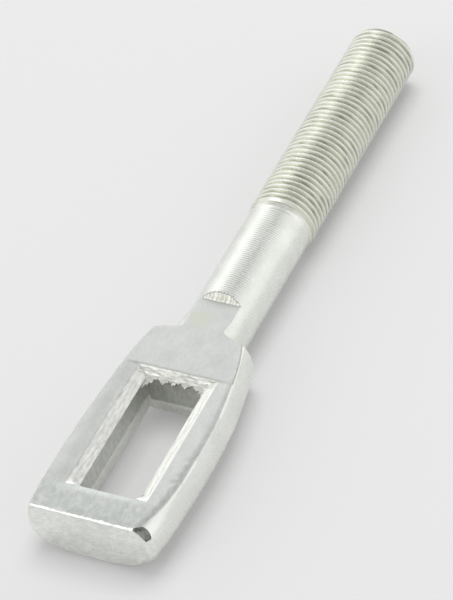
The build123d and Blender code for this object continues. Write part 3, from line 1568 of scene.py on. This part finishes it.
def bolt_finishes(place: BoltFrame) -> list[Material]:
    """The materials of the bolt's surfaces.

    Args:
        place: Where the bolt lies.

    Returns:
        The materials, in the order of Zone.
    """
    near_end, near_stop, run_out, full_thread = (place.place(0, y, 0).y for y in (1.0, 15.0, 96.0, 99.0))
    clouded_end = Fade(near_end, near_stop, (0.86, 0.875, 0.87))
    neck_stain = Stain(place.place(-2.0, 60.2, 5.6), 2.9 * MM, (0.70, 0.73, 0.645))
    wall = PlatedFinish(
        "torn_wall", colour=(0.67, 0.685, 0.65), shade=(0.51, 0.52, 0.48), roughness=0.42,
        rough_change=0.08, grain=(1, 1, 4), grain_size=0.45, grain_depth=0.03, grain_share=0.6,
        blotch_size=1.8,
    )
    finishes = {
        Zone.FLAT: PlatedFinish(
            "milled_flat", colour=(0.735, 0.755, 0.727), shade=(0.655, 0.675, 0.65), roughness=0.36,
            rough_change=0.05, grain=(1, 2.2, 1), grain_depth=0.012, grain_share=0.5,
            dressings=(clouded_end, neck_stain),
        ),
        Zone.SIDE: PlatedFinish(
            "forged_side", colour=(0.87, 0.885, 0.845), shade=(0.80, 0.815, 0.77), roughness=0.31,
            grain=(1, 3, 1), grain_size=0.6, grain_depth=0.006, blotch_size=6.0,
        ),
        Zone.END: PlatedFinish(
            "sheared_end", colour=(0.92, 0.935, 0.895), shade=(0.76, 0.775, 0.735), roughness=0.34,
            grain=(1.8, 1, 1), grain_size=0.6, grain_share=0.6,
        ),
        Zone.BEVEL: PlatedFinish(
            "broached_bevel", colour=(0.98, 0.985, 0.95), shade=(0.84, 0.85, 0.80), roughness=0.36,
            rough_change=0.10, grain=(1, 5, 1), grain_size=0.40, grain_depth=0.05, grain_share=0.7,
            blotch_size=1.2,
        ),
        Zone.WALL: wall,
        Zone.RAMP: PlatedFinish(
            "serrated_ramp", colour=(0.97, 0.975, 0.92), shade=(0.80, 0.80, 0.69), roughness=0.36,
            grain=(1, 4, 4), grain_size=0.45, grain_depth=0.03, grain_share=0.8,
        ),
        Zone.SHANK: PlatedFinish(
            "turned_shank", colour=(0.85, 0.865, 0.825), shade=(0.78, 0.795, 0.745), roughness=0.30,
            grain=(2, 1, 2), grain_size=0.4, grain_depth=0.010, ring_pitch=0.624, ring_depth=0.022,
        ),
        Zone.THREAD: PlatedFinish(
            "rolled_thread", colour=(0.88, 0.89, 0.845), shade=(0.78, 0.79, 0.72), roughness=0.30,
            grain=(2, 1, 2), grain_size=0.4, grain_depth=0.01, dressings=(GrooveShadeAndDirt(run_out, full_thread),),
        ),
        # painted shade: a darker copy of the torn wall finish
        Zone.DULL: replace(wall, name="painted_shade_wall", colour=(0.53, 0.54, 0.505), shade=(0.38, 0.39, 0.35)),
        # partly bare metal, partly painted shade: the struck corner facet's dark finish
        Zone.CHIP: PlatedFinish(
            "struck_corner", colour=(0.36, 0.365, 0.335), shade=(0.12, 0.125, 0.11), roughness=0.36,
            grain_size=0.6, grain_depth=0.03, blotch_size=1.4,
        ),
        Zone.FLARE: PlatedFinish(
            "sheared_flare", colour=(0.88, 0.89, 0.85), shade=(0.70, 0.71, 0.66), roughness=0.38,
            rough_change=0.08, grain=(1, 1, 3), grain_size=0.4, grain_depth=0.04, grain_share=0.6,
            blotch_size=1.2,
        ),
        Zone.FAR_BEVEL: PlatedFinish(
            "torn_bevel", colour=(0.93, 0.935, 0.90), shade=(0.66, 0.67, 0.60), roughness=0.36,
            rough_change=0.10, grain=(4, 1, 1), grain_size=0.40, grain_depth=0.07, grain_share=0.7,
            blotch_size=1.0,
        ),
    }
    return [finishes[zone].material() for zone in Zone]


@dataclass(frozen=True)
class Patch:
    """A soft-edged round patch of the sky: full up to its inner angle, gone at the outer one."""

    toward: Point
    inner: float
    outer: float
    gain: float

    def over(self, wiring: Wiring, where: NodeSocket, light: NodeSocket) -> NodeSocket:
        """Multiplies the sky's light by the patch.

        Args:
            wiring: The world's nodes.
            where: The direction looked in.
            light: The light so far.

        Returns:
            The light with the patch.
        """
        values = {0: where, 1: Vector(self.toward).normalized()}
        near = wiring.node("VectorMath", values, "Value", operation="DOT_PRODUCT")
        edge = tuple(math.cos(math.radians(angle)) for angle in (self.outer, self.inner))
        return wiring.maths("MULTIPLY", light, wiring.span(near, edge, (1.0, self.gain), smooth=True))


@dataclass(frozen=True)
class Studio:
    """A pale floor, a soft patchy sky and one broad lamp high over the bolt."""

    floor_colour: Point = (0.43, 0.43, 0.43)
    floor_glow: float = 0.19
    floor_size: float = 6.0
    floor_roughness: float = 0.9
    floor_shine: float = 0.1
    sky_turn: Span = (0.50, 0.88)
    sky_levels: Span = (1.05, 0.64)
    patches: tuple[Patch, ...] = (
        Patch((-0.62, 0.60, 0.50), inner=5.0, outer=20.0, gain=1.35),
        Patch((-0.39, -0.67, 0.57), inner=4.0, outer=18.0, gain=2.4),
        Patch((0.72, -0.58, 0.38), inner=18.0, outer=34.0, gain=0.75),
        Patch((0.06, 0.60, 0.80), inner=6.0, outer=14.0, gain=0.66),
        Patch((-0.03, -0.98, 0.14), inner=10.0, outer=30.0, gain=0.52),
        Patch((-0.05, 0.97, 0.12), inner=10.0, outer=30.0, gain=2.2),
    )
    lamp_spot: Point = (-0.03, 0.27, 1.27)
    lamp_size: float = 0.8
    lamp_power: float = 11.5

    def build(self) -> None:
        """Makes the floor, the sky and the lamp."""
        self.floor()
        self.sky()
        self.lamp()
        bpy.context.scene.view_settings.view_transform = "Standard"

    def floor(self) -> None:
        """A plain pale floor under the bolt."""
        shape = bmesh.new()
        bmesh.ops.create_grid(shape, x_segments=1, y_segments=1, size=self.floor_size / 2)
        mesh = bpy.data.meshes.new("floor")
        shape.to_mesh(mesh)
        shape.free()
        paper = bpy.data.materials.new("paper")
        wiring = Wiring(paper)
        surface = {
            "Base Color": (*self.floor_colour, 1.0),
            "Roughness": self.floor_roughness,
            "Specular IOR Level": self.floor_shine,
            "Emission Color": WHITE,
            "Emission Strength": self.floor_glow,
        }
        wiring.feed(wiring.nodes["Principled BSDF"], surface)
        mesh.materials.append(paper)
        floor = bpy.data.objects.new("floor", mesh)
        bpy.context.scene.collection.objects.link(floor)

    def sky(self) -> None:
        """A sky that is bright near the horizon and softer overhead, with its patches."""
        world = bpy.data.worlds.new("soft_box")
        bpy.context.scene.world = world
        wiring = Wiring(world)
        where = wiring.coordinates("Generated")
        light = wiring.span(wiring.part(where, "Z"), self.sky_turn, self.sky_levels, smooth=True)
        for patch in self.patches:
            light = patch.over(wiring, where, light)
        wiring.feed(wiring.nodes["Background"], {"Color": WHITE, "Strength": light})

    def lamp(self) -> None:
        """A square soft lamp that faces the bolt and isn't mirrored in it."""
        light = bpy.data.lights.new("high_lamp", "AREA")
        light.size = self.lamp_size
        light.energy = self.lamp_power
        lamp = bpy.data.objects.new("high_lamp", light)
        lamp.location = self.lamp_spot
        lamp.visible_glossy = False
        lamp.rotation_mode = "QUATERNION"
        lamp.rotation_quaternion = (-Vector(self.lamp_spot)).to_track_quat("-Z", "Y")
        bpy.context.scene.collection.objects.link(lamp)


@dataclass(frozen=True)
class Viewpoint:
    """The camera: a long lens that looks down along the bolt from its head's end."""

    azimuth: float = 32.92
    elevation: float = 44.2
    roll: float = -11.81
    distance: float = 0.8181
    target: Point = (-0.00655, -0.00021, 0.0)
    lens: float = 218.2
    sensor: float = 36.0
    clip: Span = (0.05, 20.0)

    def build(self) -> None:
        """Makes the camera and sets it as the scene's."""
        turn, rise = math.radians(self.azimuth), math.radians(self.elevation)
        back = Vector((math.sin(turn) * math.cos(rise), -math.cos(turn) * math.cos(rise), math.sin(rise)))
        lens = bpy.data.cameras.new("camera")
        lens.lens = self.lens
        lens.sensor_width = self.sensor
        lens.clip_start, lens.clip_end = self.clip
        camera = bpy.data.objects.new("camera", lens)
        camera.location = Vector(self.target) + back * self.distance
        camera.rotation_mode = "QUATERNION"
        level = (-back).to_track_quat("-Z", "Y")
        camera.rotation_quaternion = level @ Quaternion((0, 0, 1), math.radians(self.roll))
        bpy.context.scene.collection.objects.link(camera)
        bpy.context.scene.camera = camera


def main() -> None:
    """Builds the bolt's pieces in order, then the studio and the camera."""
    logging.basicConfig(level=logging.INFO, format="%(name)s: %(message)s")
    thread_mount = next(m for m in frame["record"]["mounts"] if m["name"] == "thread")
    place = BoltFrame(end=cad_low.y, axis_height=thread_mount["pos_m"][2])
    finishes = bolt_finishes(place)
    HeadForm(TurnedForm()).build(place, finishes)
    ThreadForm().build(place, finishes)
    Studio().build()
    Viewpoint().build()


if __name__ == "__main__":
    main()
